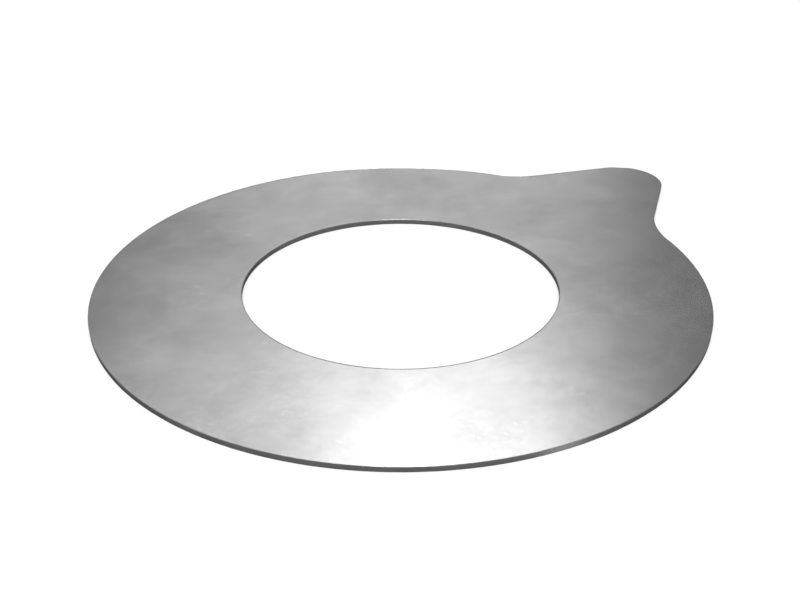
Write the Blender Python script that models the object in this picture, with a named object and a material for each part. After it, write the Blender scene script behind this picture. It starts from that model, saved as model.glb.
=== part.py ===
"""Steel shim: a flat round ring with one rounded finger tab, cut from thin sheet.

Metres, +Z up. The shim lies flat on z = 0 with its tab along +X, and the
origin is the middle of the rectangle that it covers.
"""

import math

import bpy

# Driving dimensions
OUTER_DIAMETER = 0.058
HOLE_DIAMETER = 0.030
THICKNESS = 0.0005
# From the rim of the ring to the end of the tab
TAB_LENGTH = 0.0104
TAB_TIP_RADIUS = 0.0044
TAB_ROOT_RADIUS = 0.010
# Angle of each straight side of the tab to the tab's own axis
TAB_SIDE_ANGLE = math.radians(29.5)
# Rounding of the cut edges, top and bottom
EDGE_BREAK = 0.00006

# Steps along the outline: the largest angle that one chord of an arc may span
ARC_STEP = math.radians(2.0)
# Extra rows of facets across each rounded edge
EDGE_BREAK_RESOLUTION = 1
# Corners closer than this are one corner
WELD_DISTANCE = 0.000001

# Cold rolled steel, as the eye sees it under a plain light
STEEL_COLOUR = (0.46, 0.46, 0.46, 1.0)
STEEL_ROUGHNESS = 0.34
STEEL_METALLIC = 1.0

COLLECTION_NAME = "steel_shim"
NODE_NAME = "shim"


def clear_scene():
    """Starts from an empty scene."""
    for item in list(bpy.data.objects):
        bpy.data.objects.remove(item, do_unlink=True)


def steel_material():
    """The one finish of the shim: bare rolled steel sheet."""
    material = bpy.data.materials.new("rolled_steel")
    material.use_nodes = True
    shader = material.node_tree.nodes["Principled BSDF"]
    shader.inputs["Base Color"].default_value = STEEL_COLOUR
    shader.inputs["Roughness"].default_value = STEEL_ROUGHNESS
    shader.inputs["Metallic"].default_value = STEEL_METALLIC
    material.diffuse_color = STEEL_COLOUR
    return material


def arc(centre, radius, start, end):
    """Points along an arc, both ends included, going from one angle to the other."""
    steps = max(2, math.ceil(abs(end - start) / ARC_STEP - 1e-6))
    angles = [start + (end - start) * step / steps for step in range(steps + 1)]
    return [(centre[0] + radius * math.cos(a), centre[1] + radius * math.sin(a)) for a in angles]


def tab_side():
    """One side of the tab, from the tip to the ring, about the centre of the hole.

    The round tip, the straight side and the hollow root meet tangent to each
    other, and the root runs out tangent to the ring.
    """
    ring = OUTER_DIAMETER / 2
    tip_centre = ring + TAB_LENGTH - TAB_TIP_RADIUS
    # The side is the line x sin(a) + y cos(a) = offset, with a the side angle
    offset = tip_centre * math.sin(TAB_SIDE_ANGLE) + TAB_TIP_RADIUS
    root_distance = ring + TAB_ROOT_RADIUS
    root_angle = math.asin((offset + TAB_ROOT_RADIUS) / root_distance) - TAB_SIDE_ANGLE
    root_centre = (root_distance * math.cos(root_angle), root_distance * math.sin(root_angle))
    side_normal = math.pi / 2 - TAB_SIDE_ANGLE
    tip = arc((tip_centre, 0.0), TAB_TIP_RADIUS, 0.0, side_normal)
    root = arc(root_centre, TAB_ROOT_RADIUS, side_normal - math.pi, root_angle - math.pi)
    return tip + root, root_angle


def blank_outline():
    """The outside of the blank, anticlockwise from the tip of the tab."""
    side, root_angle = tab_side()
    ring = arc((0.0, 0.0), OUTER_DIAMETER / 2, root_angle, 2 * math.pi - root_angle)
    other_side = [(x, -y) for x, y in reversed(side)]
    # Each stretch starts where the one before it ended
    return side + ring[1:] + other_side[1:-1]


def hole_outline():
    """The round hole."""
    return arc((0.0, 0.0), HOLE_DIAMETER / 2, 0.0, 2 * math.pi)[:-1]


def add_loop(curve, points, centre_x):
    """Adds one closed line to a flat curve."""
    spline = curve.splines.new("POLY")
    spline.points.add(len(points) - 1)
    for corner, (x, y) in zip(spline.points, points):
        corner.co = (centre_x + x, y, 0.0, 1.0)
    spline.use_cyclic_u = True


def shim_plate(collection):
    """The blank with its hole, given its thickness and its broken edges."""
    # The tab reaches past the ring, so the hole sits to one side of the origin
    hole_centre_x = -TAB_LENGTH / 2
    curve = bpy.data.curves.new(NODE_NAME, "CURVE")
    curve.dimensions = "2D"
    curve.fill_mode = "BOTH"
    # The rounding is swept round the outline, and drawn in by its own radius
    curve.extrude = THICKNESS / 2 - EDGE_BREAK
    curve.bevel_depth = EDGE_BREAK
    curve.offset = -EDGE_BREAK
    curve.bevel_resolution = EDGE_BREAK_RESOLUTION
    add_loop(curve, blank_outline(), hole_centre_x)
    add_loop(curve, hole_outline(), hole_centre_x)
    plate = bpy.data.objects.new(NODE_NAME, curve)
    plate.location.z = THICKNESS / 2
    collection.objects.link(plate)

    weld = plate.modifiers.new("join_faces_to_walls", "WELD")
    weld.merge_threshold = WELD_DISTANCE
    curve.materials.append(steel_material())
    return plate


def main():
    clear_scene()
    collection = bpy.data.collections.new(COLLECTION_NAME)
    bpy.context.scene.collection.children.link(collection)
    shim_plate(collection)


main()
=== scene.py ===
"""Steel shim: the finished plate, its rolled and cut surfaces, and the stage it lies on."""

import math

import bpy
from bpy.props import FloatProperty, FloatVectorProperty, IntProperty, PointerProperty
from mathutils import Matrix, Vector


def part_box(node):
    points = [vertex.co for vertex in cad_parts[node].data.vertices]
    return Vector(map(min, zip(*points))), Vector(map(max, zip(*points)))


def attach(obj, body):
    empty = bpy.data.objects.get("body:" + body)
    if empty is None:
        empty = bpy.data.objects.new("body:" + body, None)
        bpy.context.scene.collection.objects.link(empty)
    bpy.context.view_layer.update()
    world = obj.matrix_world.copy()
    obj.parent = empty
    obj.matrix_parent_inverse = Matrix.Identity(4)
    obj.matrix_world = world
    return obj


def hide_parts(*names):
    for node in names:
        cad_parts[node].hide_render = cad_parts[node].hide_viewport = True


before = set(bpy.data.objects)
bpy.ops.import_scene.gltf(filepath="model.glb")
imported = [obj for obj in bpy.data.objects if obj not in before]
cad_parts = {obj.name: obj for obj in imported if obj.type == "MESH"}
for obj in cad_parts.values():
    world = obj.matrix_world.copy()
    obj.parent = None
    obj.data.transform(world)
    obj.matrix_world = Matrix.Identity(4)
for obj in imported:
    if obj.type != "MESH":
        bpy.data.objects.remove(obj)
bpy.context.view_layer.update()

bl_info = {
    "name": "Steel Shim",
    "version": (1, 0, 0),
    "blender": (4, 5, 0),
    "location": "View3D > Sidebar > Shim",
    "description": "Builds a tabbed ring shim of rolled steel sheet on a pale stage",
    "category": "Add Mesh",
}

LOW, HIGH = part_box("shim")
OUTER_DIAMETER = HIGH.y - LOW.y
TAB_LENGTH = HIGH.x - LOW.x - OUTER_DIAMETER
# The tab lies along +X, so the hole is off the middle towards -X
HOLE_CENTRE = Vector((LOW.x + OUTER_DIAMETER / 2, 0.0, LOW.z))
MILLIMETRES = 1000.0


class ShimSizes(bpy.types.PropertyGroup):
    """The sizes of the plate."""

    outer_diameter: FloatProperty(
        name="Outer Diameter", description="Across the ring, without its tab", default=OUTER_DIAMETER,
        unit="LENGTH",
    )
    hole_diameter: FloatProperty(
        name="Hole Diameter", description="Across the round hole", default=0.030, unit="LENGTH"
    )
    thickness: FloatProperty(
        name="Thickness", description="Gauge of the sheet", default=HIGH.z - LOW.z, unit="LENGTH"
    )
    tab_length: FloatProperty(
        name="Tab Length", description="From the rim of the ring to the end of the tab", default=TAB_LENGTH,
        unit="LENGTH",
    )
    tip_radius: FloatProperty(
        name="Tip Radius", description="Of the tab's round end", default=0.0044, unit="LENGTH"
    )
    root_radius: FloatProperty(
        name="Root Radius", description="Of the hollow where the tab runs into the ring", default=0.010,
        unit="LENGTH",
    )
    side_angle: FloatProperty(
        name="Side Angle", description="Of each side of the tab to the tab's axis",
        default=math.radians(29.5), subtype="ANGLE", unit="ROTATION",
    )
    edge_break: FloatProperty(
        name="Edge Break", description="Radius that the cut edges are rounded to", default=0.00002,
        unit="LENGTH",
    )
    hole_lip: FloatProperty(
        name="Hole Lip", description="Radius of the fine lip along the hole's upper edge",
        default=0.000031, unit="LENGTH",
    )
    rim_lip: FloatProperty(
        name="Rim Lip", description="Radius of the fine lip along the rim's upper edge",
        default=0.000028, unit="LENGTH",
    )
    steps_round: IntProperty(
        name="Steps Round", description="Facets once round the ring", default=1440, min=90
    )
    steps_across: IntProperty(
        name="Steps Across", description="Facets across each rounded edge", default=2, min=1
    )


class SteelFinish(bpy.types.PropertyGroup):
    """The look of the steel. Lengths here are in millimetres."""

    face_colour: FloatVectorProperty(
        name="Face Colour", description="Of the rolled faces", default=(0.494, 0.494, 0.494), subtype="COLOR"
    )
    face_roughness: FloatProperty(
        name="Face Roughness", description="Of the rolled faces", default=0.25, min=0.0, max=1.0
    )
    cloud_place: FloatVectorProperty(
        name="Cloud Place", description="Where in their noise the clouds are taken from, in mm",
        default=(704.96, -386.17, -130.34),
    )
    cloud_size: FloatProperty(
        name="Cloud Size", description="Width of the broad clouds in the rolled finish, in mm", default=9.0
    )
    cloud_strength: FloatProperty(
        name="Cloud Strength", description="How far the clouds lighten and darken the faces", default=0.82
    )
    fleck_size: FloatProperty(
        name="Fleck Size", description="Width of the small bright flecks, in mm", default=0.6
    )
    fleck_strength: FloatProperty(
        name="Fleck Strength", description="How far the flecks lighten the faces", default=0.16
    )
    # Painted shade: the rounded edges' dark colour stands in for a dark reflection in them
    break_shade_colour: FloatVectorProperty(
        name="Break Colour", description="Of the rounded edges", default=(0.36, 0.36, 0.36), subtype="COLOR"
    )
    break_roughness: FloatProperty(
        name="Break Roughness", description="Of the rounded edges", default=0.2, min=0.0, max=1.0
    )
    # Painted shade: the walls' dark colour stands in for a dark reflection in them
    wall_shade_colour: FloatVectorProperty(
        name="Cut Colour", description="Of the cut walls", default=(0.115, 0.115, 0.115), subtype="COLOR"
    )
    # Painted highlight: one short stretch of wall is painted brighter where a reflection falls
    painted_glint_colour: FloatVectorProperty(
        name="Glint Colour", description="Of the short stretch of wall that is rubbed bright",
        default=(0.28, 0.28, 0.28), subtype="COLOR",
    )
    painted_glint_angle: FloatProperty(
        name="Glint Angle", description="Where the rubbed stretch is, from the tab's axis",
        default=math.radians(-109.5), subtype="ANGLE", unit="ROTATION",
    )
    painted_glint_length: FloatProperty(
        name="Glint Length", description="Length of the rubbed stretch, in mm", default=7.5
    )


class Studio(bpy.types.PropertyGroup):
    """The stage, its light and the camera."""

    floor_colour: FloatVectorProperty(
        name="Floor Colour", description="Of the plain floor", default=(0.57, 0.57, 0.57), subtype="COLOR"
    )
    floor_lift: FloatProperty(
        name="Floor Lift", description="What is added to the floor's own brightness, so that it looks white",
        default=0.30,
    )
    view_azimuth: FloatProperty(
        name="View Azimuth", description="Turn of the view from looking along +Y",
        default=math.radians(-45.183), subtype="ANGLE", unit="ROTATION",
    )
    view_elevation: FloatProperty(
        name="View Elevation", description="Of the camera above the floor, seen from the hole",
        default=math.radians(28.072), subtype="ANGLE", unit="ROTATION",
    )
    view_distance: FloatProperty(
        name="View Distance", description="From the centre of the hole to the camera", default=0.12226,
        unit="LENGTH",
    )
    lens: FloatProperty(
        name="Lens", description="Focal length on a 36 mm sensor", default=57.893
    )
    aim_near: FloatProperty(
        name="Aim Near", description="How far before the hole's centre the camera aims", default=0.00180,
        unit="LENGTH",
    )
    aim_left: FloatProperty(
        name="Aim Left", description="How far left of the hole's centre the camera aims", default=0.00006,
        unit="LENGTH",
    )


class Socket:
    """A node's output that Python's operators work on, in shader and geometry trees alike."""

    def __init__(self, graph, socket):
        self.graph = graph
        self.socket = socket

    def math(self, operation, *values):
        """One Math node on these values, in the order given."""
        made = self.graph.node("ShaderNodeMath", {"operation": operation}, dict(enumerate(values)))
        return self.graph.out(made)

    def __add__(self, other):
        return self.math("ADD", self, other)

    def __radd__(self, other):
        return self.math("ADD", other, self)

    def __sub__(self, other):
        return self.math("SUBTRACT", self, other)

    def __rsub__(self, other):
        return self.math("SUBTRACT", other, self)

    def __mul__(self, other):
        return self.math("MULTIPLY", self, other)

    def __rmul__(self, other):
        return self.math("MULTIPLY", other, self)

    def __truediv__(self, other):
        return self.math("DIVIDE", self, other)

    def __rtruediv__(self, other):
        return self.math("DIVIDE", other, self)

    def __abs__(self):
        return self.math("ABSOLUTE", self)

    def __lt__(self, other):
        return self.math("LESS_THAN", self, other)

    def __gt__(self, other):
        return self.math("GREATER_THAN", self, other)

    def sin(self):
        return self.math("SINE", self)

    def cos(self):
        return self.math("COSINE", self)

    def asin(self):
        return self.math("ARCSINE", self)

    def atan2(self, x):
        return self.math("ARCTAN2", self, x)

    def sqrt(self):
        return self.math("SQRT", self)

    def either(self, other):
        """The larger of two values."""
        return self.math("MAXIMUM", self, other)

    def rise(self, start, end):
        """Goes smoothly from 0 to 1 as this value goes from start to end."""
        made = self.graph.node(
            "ShaderNodeMapRange",
            {"interpolation_type": "SMOOTHSTEP"},
            {"Value": self, "From Min": start, "From Max": end},
        )
        return self.graph.out(made)


class Graph:
    """Builds one node tree."""

    def __init__(self, tree):
        self.tree = tree
        tree.nodes.clear()

    def node(self, kind, settings=None, sockets=None):
        """Adds a node: its settings first, then the values or links of its sockets."""
        made = self.tree.nodes.new(kind)
        for name, value in (settings or {}).items():
            setattr(made, name, value)
        for key, value in (sockets or {}).items():
            # A list is for a socket that takes several links
            for part in value if isinstance(value, list) else [value]:
                if isinstance(part, Socket):
                    self.tree.links.new(part.socket, made.inputs[key])
                else:
                    made.inputs[key].default_value = part
        return made

    def out(self, node, key=0):
        return Socket(self, node.outputs[key])

    def add(self, kind, settings=None, sockets=None, key=0):
        """Adds a node and returns one of its outputs."""
        return self.out(self.node(kind, settings, sockets), key)

    def separate(self, vector):
        made = self.node("ShaderNodeSeparateXYZ", sockets={0: vector})
        return [self.out(made, axis) for axis in range(3)]

    def combine(self, x, y, z):
        return self.add("ShaderNodeCombineXYZ", sockets={0: x, 1: y, 2: z})

    def shades(self, colour, low, high, factor):
        """A colour between two shades of one colour, each given as a share of its brightness."""
        return self.tint(solid_colour(scaled(colour, low)), solid_colour(scaled(colour, high)), factor)

    def tint(self, low, high, factor):
        """A colour between two colours."""
        made = self.node(
            "ShaderNodeMix",
            {"data_type": "RGBA"},
            {"Factor": factor, 6: low, 7: high},
        )
        return self.out(made, 2)


def solid_colour(colour):
    """A colour property as the four numbers that a colour socket takes."""
    return (*colour, 1.0)


def scaled(colour, factor):
    """A colour made lighter or darker."""
    return tuple(min(1.0, part * factor) for part in colour)


def tab_rule(g, sizes, turn, inset):
    """Distance from the hole's centre to the outline, drawn in by inset, at a turn from the tab's axis.

    The round tip, the straight side, the hollow root and the ring meet tangent to each other.
    """
    ring = sizes["Outer Diameter"] / 2
    tip_radius = sizes["Tip Radius"]
    root_radius = sizes["Root Radius"]
    side_angle = sizes["Side Angle"]
    tip_centre = ring + sizes["Tab Length"] - tip_radius
    side_offset = tip_centre * side_angle.sin() + tip_radius
    root_distance = ring + root_radius
    root_turn = ((side_offset + root_radius) / root_distance).asin() - side_angle

    tip = tip_radius - inset
    root = root_radius + inset
    tip_end = (tip * side_angle.cos()).atan2(tip_centre + tip * side_angle.sin())
    root_x = root_distance * root_turn.cos() - root * side_angle.sin()
    root_y = root_distance * root_turn.sin() - root * side_angle.cos()
    side_end = root_y.atan2(root_x)

    off_tip = tip_centre * turn.sin()
    on_tip = tip_centre * turn.cos() + (tip * tip - off_tip * off_tip).sqrt()
    on_side = (side_offset - inset) / (side_angle + turn).sin()
    off_root = root_distance * (root_turn - turn).sin()
    on_root = root_distance * (root_turn - turn).cos() - (root * root - off_root * off_root).sqrt()
    on_ring = ring - inset

    reach = on_ring + (turn < root_turn) * (on_root - on_ring)
    reach = reach + (turn < side_end) * (on_side - on_root)
    return reach + (turn < tip_end) * (on_tip - on_side)


# Facets once round each lip
LIP_FACETS = 16
# A facet of a face looks up by more than the first of these, and one of a wall by less than the second,
# where 1 is straight up
FACE_UPWARDS = 0.9999
WALL_UPWARDS = 0.01
# A facet looks away from the hole where its normal's outward share, times its distance from the hole's
# centre in metres, is above this
AWAY_FROM_HOLE = 0.001


def plate_tree(faces, breaks, walls):
    """The plate by rule: a rounded bar is swept round the hole, and its outer side follows the tab."""
    tree = bpy.data.node_groups.new("plate_by_rule", "GeometryNodeTree")
    g = Graph(tree)
    lengths = ("Outer Diameter", "Hole Diameter", "Thickness", "Tab Length", "Tip Radius", "Root Radius")
    for name in (*lengths, "Edge Break", "Hole Lip", "Rim Lip", "Side Angle"):
        tree.interface.new_socket(name, in_out="INPUT", socket_type="NodeSocketFloat")
    for name in ("Steps Round", "Steps Across"):
        tree.interface.new_socket(name, in_out="INPUT", socket_type="NodeSocketInt")
    tree.interface.new_socket("Plate", in_out="OUTPUT", socket_type="NodeSocketGeometry")
    given = g.node("NodeGroupInput")
    sizes = {socket.name: Socket(g, socket) for socket in given.outputs if socket.name}

    # The section lies in its own plane: x outwards from the middle of the ring's width, y up
    land = (sizes["Outer Diameter"] - sizes["Hole Diameter"]) / 2
    thickness = sizes["Thickness"]
    bar = g.add("GeometryNodeCurvePrimitiveQuadrilateral", sockets={"Width": land, "Height": thickness})
    section = g.add(
        "GeometryNodeFilletCurve",
        {"mode": "POLY"},
        {"Curve": bar, "Radius": sizes["Edge Break"], "Count": sizes["Steps Across"]},
    )
    lips = []
    for side, radius in ((-1.0, sizes["Hole Lip"]), (1.0, sizes["Rim Lip"])):
        lip = g.add(
            "GeometryNodeCurvePrimitiveCircle",
            {"mode": "RADIUS"},
            {"Resolution": LIP_FACETS, "Radius": radius},
        )
        corner = g.combine(side * land / 2, thickness / 2, 0.0)
        lips.append(g.add("GeometryNodeTransform", sockets={"Geometry": lip, "Translation": corner}))
    section = g.add("GeometryNodeJoinGeometry", sockets={"Geometry": [section, *lips]})
    section = g.add(
        "GeometryNodeStoreNamedAttribute",
        {"data_type": "FLOAT_VECTOR", "domain": "POINT"},
        {"Geometry": section, "Name": "section", "Value": g.add("GeometryNodeInputPosition")},
    )
    path = g.add(
        "GeometryNodeCurvePrimitiveCircle",
        {"mode": "RADIUS"},
        {"Resolution": sizes["Steps Round"], "Radius": sizes["Outer Diameter"] / 2},
    )
    path = g.add(
        "GeometryNodeStoreNamedAttribute",
        {"data_type": "FLOAT", "domain": "POINT"},
        {"Geometry": path, "Name": "round", "Value": g.add("GeometryNodeSplineParameter")},
    )
    swept = g.add("GeometryNodeCurveToMesh", sockets={"Curve": path, "Profile Curve": section})
    # The sweep leaves its faces looking inwards
    swept = g.add("GeometryNodeFlipFaces", sockets={"Mesh": swept})

    # Where each corner of the swept bar goes
    at_section = g.add(
        "GeometryNodeInputNamedAttribute", {"data_type": "FLOAT_VECTOR"}, {"Name": "section"}
    )
    across, height, _ = g.separate(at_section)
    turn = g.add("GeometryNodeInputNamedAttribute", {"data_type": "FLOAT"}, {"Name": "round"}) * math.tau
    from_tab = turn.math("MINIMUM", turn, math.tau - turn)
    outer = tab_rule(g, sizes, from_tab, land / 2 - across)
    inner = sizes["Hole Diameter"] / 2 + land / 2 + across
    reach = inner + (across > 0.0) * (outer - inner)
    corner = g.combine(
        HOLE_CENTRE.x + reach * turn.cos(),
        HOLE_CENTRE.y + reach * turn.sin(),
        HOLE_CENTRE.z + thickness / 2 + height,
    )
    plate = g.add("GeometryNodeSetPosition", sockets={"Geometry": swept, "Position": corner})
    for name in ("section", "round"):
        plate = g.add("GeometryNodeRemoveAttribute", sockets={"Geometry": plate, "Name": name})

    # The faces are dead flat, and the rest is shaded round. The lower edges take the walls' dark colour,
    # which is painted shade.
    normal_x, normal_y, upwards = g.separate(g.add("GeometryNodeInputNormal"))
    is_face = abs(upwards) > FACE_UPWARDS
    is_wall = upwards < WALL_UPWARDS
    # On its side towards the face, the hole's lip takes the walls' dark colour, painted shade that keeps a
    # dark line along the hole's upper edge
    x, y, _ = g.separate(g.add("GeometryNodeInputPosition"))
    x, y = x - HOLE_CENTRE.x, y - HOLE_CENTRE.y
    by_hole = (x * x + y * y).sqrt() < (sizes["Hole Diameter"] + land) / 2
    is_lip_side = by_hole * (normal_x * x + normal_y * y > AWAY_FROM_HOLE)
    plate = g.add("GeometryNodeSetShadeSmooth", sockets={"Geometry": plate, "Shade Smooth": True})
    plate = g.add(
        "GeometryNodeSetShadeSmooth",
        sockets={"Geometry": plate, "Selection": is_face, "Shade Smooth": False},
    )
    plate = g.add("GeometryNodeRealizeInstances", sockets={"Geometry": plate})
    plate = g.add("GeometryNodeSetMaterial", sockets={"Geometry": plate, "Material": breaks})
    for selection, material in ((is_wall, walls), (is_lip_side, walls), (is_face, faces)):
        plate = g.add(
            "GeometryNodeSetMaterial",
            sockets={"Geometry": plate, "Selection": selection, "Material": material},
        )
    g.node("NodeGroupOutput", sockets={"Plate": plate})
    return tree


def set_inputs(modifier, values):
    """Sets a modifier's inputs by their names in the tree's panel."""
    for item in modifier.node_group.interface.items_tree:
        if item.in_out == "INPUT":
            modifier[item.identifier] = values[item.name]


def new_material(name):
    """An empty material, and its graph."""
    material = bpy.data.materials.new(name)
    material.use_nodes = True
    return material, Graph(material.node_tree)


def put_out(g, shader):
    g.node("ShaderNodeOutputMaterial", sockets={"Surface": shader})


def in_millimetres(g, stretch=(1.0, 1.0, 1.0)):
    """The place on the plate, in millimetres, each axis stretched by its own factor."""
    place = g.add("ShaderNodeTexCoord", key="Object")
    factors = tuple(MILLIMETRES * part for part in stretch)
    return g.add("ShaderNodeVectorMath", {"operation": "MULTIPLY"}, {0: place, 1: factors})


def noise(g, place, size, detail, roughness):
    """Cloudy noise about 0, with features of this size in millimetres."""
    made = g.node(
        "ShaderNodeTexNoise",
        {"noise_dimensions": "3D", "normalize": True},
        {"Vector": place, "Scale": 1.0 / size, "Detail": detail, "Roughness": roughness},
    )
    return g.out(made) - 0.5


def rolled_faces(look):
    """Cold rolled sheet: satin, with clouds down to a fine mottle, and small bright flecks in patches."""
    material, g = new_material("rolled_steel")
    place = in_millimetres(g)
    cloud_place = g.add(
        "ShaderNodeVectorMath", {"operation": "ADD"}, {0: place, 1: tuple(look.cloud_place)}
    )
    clouds = noise(g, cloud_place, look.cloud_size, detail=7.0, roughness=0.68)
    patches = noise(g, place, look.cloud_size * 0.8, detail=1.0, roughness=0.5).rise(-0.1, 0.2)
    flecks = noise(g, place, look.fleck_size, detail=4.0, roughness=0.6).rise(0.05, 0.2) * patches
    shade = 0.5 + look.cloud_strength * clouds + look.fleck_strength * flecks
    colour = g.shades(look.face_colour, 0.5, 1.5, shade)
    shader = g.add(
        "ShaderNodeBsdfPrincipled",
        sockets={"Base Color": colour, "Roughness": look.face_roughness, "Metallic": 1.0},
    )
    put_out(g, shader)
    return material


def broken_edges(look):
    """The rounded edges, worn unevenly. Their dark colour is painted shade, a dark reflection painted in."""
    material, g = new_material("broken_edge")
    worn = noise(g, in_millimetres(g), size=1.5, detail=3.0, roughness=0.6)
    colour = g.shades(look.break_shade_colour, 0.7, 1.3, 0.5 + worn)
    # The dark tint of their reflection is painted shade as well
    shader = g.add(
        "ShaderNodeBsdfPrincipled",
        sockets={
            "Base Color": colour,
            "Roughness": look.break_roughness + 0.1 * worn,
            "Metallic": 1.0,
            "Specular Tint": solid_colour(look.break_shade_colour),
        },
    )
    put_out(g, shader)
    return material


def cut_walls(look, sizes):
    """The sheared walls, with fine upright drag lines. Their dark colour is painted shade, a dark reflection
    painted in, and one short stretch carries a painted highlight.
    """
    material, g = new_material("cut_edge")
    lines = noise(g, in_millimetres(g, (1.0, 1.0, 0.08)), size=0.16, detail=3.0, roughness=0.6)
    patches = noise(g, in_millimetres(g), size=4.0, detail=3.0, roughness=0.6)
    # Painted highlight: the wall is painted brighter round one short stretch, which lies here
    glint_x = HOLE_CENTRE.x + sizes.outer_diameter / 2 * math.cos(look.painted_glint_angle)
    glint_y = HOLE_CENTRE.y + sizes.outer_diameter / 2 * math.sin(look.painted_glint_angle)
    glint_centre = (glint_x * MILLIMETRES, glint_y * MILLIMETRES, 0.0)
    place = in_millimetres(g, (1.0, 1.0, 0.0))
    away = g.add("ShaderNodeVectorMath", {"operation": "DISTANCE"}, {0: place, 1: glint_centre}, key="Value")
    glinting = 1.0 - away.rise(0.0, 0.5 * look.painted_glint_length)
    # Painted shade: the walls' dark colour, with drag lines and patches in it
    dark = g.shades(look.wall_shade_colour, 0.6, 1.4, 0.5 + 0.5 * lines + 0.9 * patches)
    colour = g.tint(dark, solid_colour(look.painted_glint_colour), glinting * (0.9 + lines))
    # The dark tint of the walls' reflection is painted shade as well
    shader = g.add(
        "ShaderNodeBsdfPrincipled",
        sockets={
            "Base Color": colour,
            "Roughness": 0.5 + 0.3 * lines,
            "Metallic": 1.0,
            "Specular Tint": solid_colour(scaled(look.wall_shade_colour, 2.5)),
        },
    )
    put_out(g, shader)
    return material


class SHIM_OT_plate(bpy.types.Operator):
    """Makes the plate by rule, with its rolled faces, rounded edges and cut walls"""

    bl_idname = "shim.plate"
    bl_label = "Shim Plate"

    def execute(self, context):
        sizes = context.scene.shim_sizes
        look = context.scene.shim_finish
        plate = bpy.data.objects.new("shim_plate", bpy.data.meshes.new("shim_plate"))
        context.scene.collection.objects.link(plate)
        modifier = plate.modifiers.new("plate_by_rule", "NODES")
        modifier.node_group = plate_tree(rolled_faces(look), broken_edges(look), cut_walls(look, sizes))
        set_inputs(
            modifier,
            {
                "Outer Diameter": sizes.outer_diameter,
                "Hole Diameter": sizes.hole_diameter,
                "Thickness": sizes.thickness,
                "Tab Length": sizes.tab_length,
                "Tip Radius": sizes.tip_radius,
                "Root Radius": sizes.root_radius,
                "Edge Break": sizes.edge_break,
                "Hole Lip": sizes.hole_lip,
                "Rim Lip": sizes.rim_lip,
                "Side Angle": sizes.side_angle,
                "Steps Round": sizes.steps_round,
                "Steps Across": sizes.steps_across,
            },
        )
        finished = plate.evaluated_get(context.evaluated_depsgraph_get())
        mesh = bpy.data.meshes.new_from_object(finished)
        plate.modifiers.remove(modifier)
        plate.data = mesh
        if not mesh.polygons:
            raise RuntimeError("the plate came out empty")
        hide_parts("shim")
        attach(plate, "root")
        return {"FINISHED"}


# Soft lamps as the shim sees them: turn from straight beyond it, rise, width and height, all in degrees,
# then how bright each looks in a mirror, where 1 is white
LAMPS = (
    ("lamp_key", 2.3, 38.0, 11.4, 10.9, 2.63),
    ("lamp_low", 0.5, 12.4, 19.6, 18.0, 0.79),
    ("lamp_left", -36.2, 21.7, 67.2, 26.4, 0.11),
    ("lamp_right", 29.9, 20.4, 70.5, 39.8, 0.05),
    ("lamp_front", 179.1, 58.5, 25.9, 14.0, 28.0),
    ("lamp_over", -2.9, 83.7, 32.6, 108.5, 0.95),
    ("lamp_side_left", -98.0, 27.0, 50.0, 50.0, 0.4),
    ("lamp_side_right", 98.0, 27.0, 50.0, 50.0, 0.4),
    ("lamp_fill", 180.0, 26.0, 84.0, 34.0, 0.6),
)
LAMP_DISTANCE = 3.0
SKY_LIGHT = 0.1
WALL_DISTANCE = 6.0
WALL_RISE = math.radians(13.5)
# How far below the shim the floor lies, so that the two don't touch
FLOOR_GAP = 0.00001
# The floor takes light and shadow up to the first distance, and only looks white from the second
LIT_REACH = 0.15
WHITE_REACH = 0.5


def hang_lamps(scene, studio):
    """Soft rectangular lamps round the shim, each square to it."""
    to_stage = Matrix.Rotation(studio.view_azimuth, 3, "Z")
    for name, turn, rise, width, height, brightness in LAMPS:
        turn, rise = math.radians(turn), math.radians(rise)
        level = Vector((math.sin(turn), math.cos(turn), 0.0)) * math.cos(rise)
        outwards = to_stage @ (level + Vector((0.0, 0.0, math.sin(rise))))
        across = to_stage @ Vector((math.cos(turn), -math.sin(turn), 0.0))
        data = bpy.data.lights.new(name, "AREA")
        data.shape = "RECTANGLE"
        data.size = 2 * LAMP_DISTANCE * math.tan(math.radians(width) / 2)
        data.size_y = 2 * LAMP_DISTANCE * math.tan(math.radians(height) / 2)
        data.energy = brightness * math.pi * data.size * data.size_y
        lamp = bpy.data.objects.new(name, data)
        axes = Matrix((across, outwards.cross(across), outwards)).transposed().to_4x4()
        lamp.matrix_world = Matrix.Translation(HOLE_CENTRE + outwards * LAMP_DISTANCE) @ axes
        lamp.visible_camera = False
        scene.collection.objects.link(lamp)


def light_sky(scene):
    """A faint even light from everywhere above the wall."""
    world = bpy.data.worlds.new("studio_sky")
    world.use_nodes = True
    scene.world = world
    g = Graph(world.node_tree)
    sky = g.add("ShaderNodeBackground", sockets={"Color": (1.0, 1.0, 1.0, 1.0), "Strength": SKY_LIGHT})
    g.node("ShaderNodeOutputWorld", sockets={"Surface": sky})


def white_paint(studio):
    """Paint that takes the shim's shadow, and looks white to the camera and in metal and glass.

    Away from the shim, where the lamps no longer reach evenly, it only looks white.
    """
    material, g = new_material("floor_paint")
    path = g.node("ShaderNodeLightPath")
    seen = g.out(path, "Is Camera Ray")
    for kind in ("Is Glossy Ray", "Is Transmission Ray"):
        seen = seen.either(g.out(path, kind))
    paint = g.add("ShaderNodeBsdfDiffuse", sockets={"Color": solid_colour(studio.floor_colour)})
    lift = g.add("ShaderNodeEmission", sockets={"Strength": seen * studio.floor_lift})
    near = g.add("ShaderNodeAddShader", sockets={0: paint, 1: lift})
    white = g.add("ShaderNodeEmission", sockets={"Strength": seen})
    place = g.add("ShaderNodeTexCoord", key="Object")
    away = g.add("ShaderNodeVectorMath", {"operation": "LENGTH"}, {0: place}, key="Value")
    far_off = away.rise(LIT_REACH, WHITE_REACH)
    put_out(g, g.add("ShaderNodeMixShader", sockets={0: far_off, 1: near, 2: white}))
    return material


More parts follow.
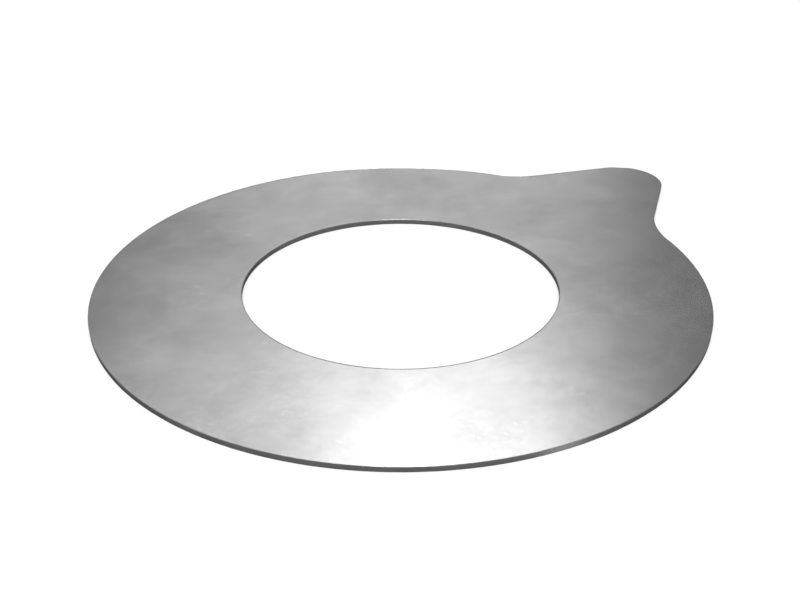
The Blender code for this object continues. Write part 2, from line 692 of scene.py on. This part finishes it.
def lay_floor(scene, studio):
    """A plain pale floor that takes the shim's soft shadow, with a low wall far round it."""
    steps = 96
    height = WALL_DISTANCE * math.tan(WALL_RISE)
    ring = [(math.cos(math.tau * step / steps), math.sin(math.tau * step / steps)) for step in range(steps)]
    corners = [(WALL_DISTANCE * x, WALL_DISTANCE * y, z) for z in (0.0, height) for x, y in ring]
    mesh = bpy.data.meshes.new("floor")
    wall = [(k, k + steps, (k + 1) % steps + steps, (k + 1) % steps) for k in range(steps)]
    mesh.from_pydata(corners, [], [tuple(range(steps)), *wall])
    floor = bpy.data.objects.new("floor", mesh)
    floor.location.z = LOW.z - FLOOR_GAP
    scene.collection.objects.link(floor)
    mesh.materials.append(white_paint(studio))


def place_camera(scene, studio):
    """The camera at the photograph's viewing angle."""
    turn = Matrix.Rotation(studio.view_azimuth, 4, "Z")
    towards_camera = Vector((0.0, -math.cos(studio.view_elevation), math.sin(studio.view_elevation)))
    eye = HOLE_CENTRE + turn @ (towards_camera * studio.view_distance)
    aim = HOLE_CENTRE + turn @ Vector((-studio.aim_left, -studio.aim_near, 0.0))
    data = bpy.data.cameras.new("camera")
    data.lens = studio.lens
    data.sensor_width = 36.0
    data.clip_start = 0.001
    camera = bpy.data.objects.new("camera", data)
    camera.location = eye
    camera.rotation_euler = (aim - eye).to_track_quat("-Z", "Y").to_euler()
    scene.collection.objects.link(camera)
    scene.camera = camera


class SHIM_OT_studio(bpy.types.Operator):
    """Lays the pale floor, hangs the lamps, lights the sky and places the camera"""

    bl_idname = "shim.studio"
    bl_label = "Studio"

    def execute(self, context):
        scene = context.scene
        studio = scene.shim_studio
        lay_floor(scene, studio)
        hang_lamps(scene, studio)
        light_sky(scene)
        place_camera(scene, studio)
        scene.view_settings.view_transform = "Standard"
        return {"FINISHED"}


class SHIM_PT_tools(bpy.types.Panel):
    """The shim's sizes, finish and stage, and the buttons that build them"""

    bl_idname = "SHIM_PT_tools"
    bl_label = "Shim"
    bl_space_type = "VIEW_3D"
    bl_region_type = "UI"
    bl_category = "Shim"

    def draw(self, context):
        groups = (("shim_sizes", SHIM_OT_plate), ("shim_finish", None), ("shim_studio", SHIM_OT_studio))
        for name, operator in groups:
            group = getattr(context.scene, name)
            box = self.layout.box()
            for key in type(group).__annotations__:
                box.prop(group, key)
            if operator:
                box.operator(operator.bl_idname)


CLASSES = (ShimSizes, SteelFinish, Studio, SHIM_OT_plate, SHIM_OT_studio, SHIM_PT_tools)


def register():
    for cls in CLASSES:
        bpy.utils.register_class(cls)
    bpy.types.Scene.shim_sizes = PointerProperty(type=ShimSizes)
    bpy.types.Scene.shim_finish = PointerProperty(type=SteelFinish)
    bpy.types.Scene.shim_studio = PointerProperty(type=Studio)


def unregister():
    del bpy.types.Scene.shim_studio
    del bpy.types.Scene.shim_finish
    del bpy.types.Scene.shim_sizes
    for cls in reversed(CLASSES):
        bpy.utils.unregister_class(cls)


def main():
    register()
    bpy.ops.shim.plate()
    bpy.ops.shim.studio()


if __name__ == "__main__":
    main()
